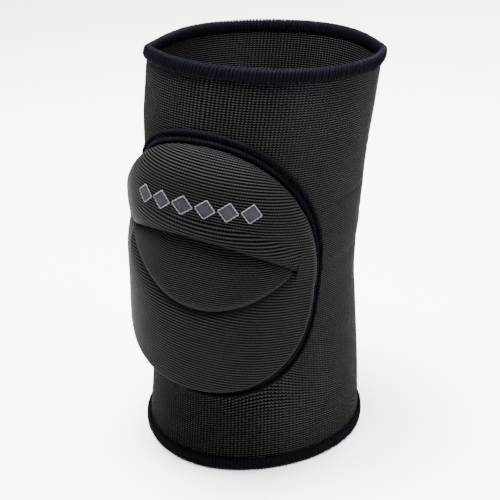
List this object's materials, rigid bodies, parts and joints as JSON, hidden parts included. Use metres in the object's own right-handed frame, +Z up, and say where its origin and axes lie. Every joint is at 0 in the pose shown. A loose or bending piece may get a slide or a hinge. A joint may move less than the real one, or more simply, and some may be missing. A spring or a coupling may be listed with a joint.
{
  "type": "knee pad",
  "caption": "Pull-on knitted knee sleeve with a thick folded foam pad on its front, overlocked seams and hems, open at both ends.",
  "frame": {"origin": "on the floor under the middle of the whole thing, which stands on its lower hem", "axes": "+Z up along the leg towards the thigh, -Y out of the pad's face, +X to the right seen from the front"},
  "size_m": [0.1288, 0.1584, 0.2221],
  "materials": {
    "sleeve_knit": "matt near-black elastic knit",
    "pad_cover_knit": "matt near-black ribbed knit over foam",
    "overlock_thread": "dark navy thread with a soft sheen"
  },
  "bodies": {
    "root": {"sleeve": "sleeve_knit", "upper_hem": "overlock_thread", "lower_hem": "overlock_thread", "pad": "pad_cover_knit", "pad_edge": "overlock_thread", "sleeve_edge": "overlock_thread"}
  },
  "joints": []
}
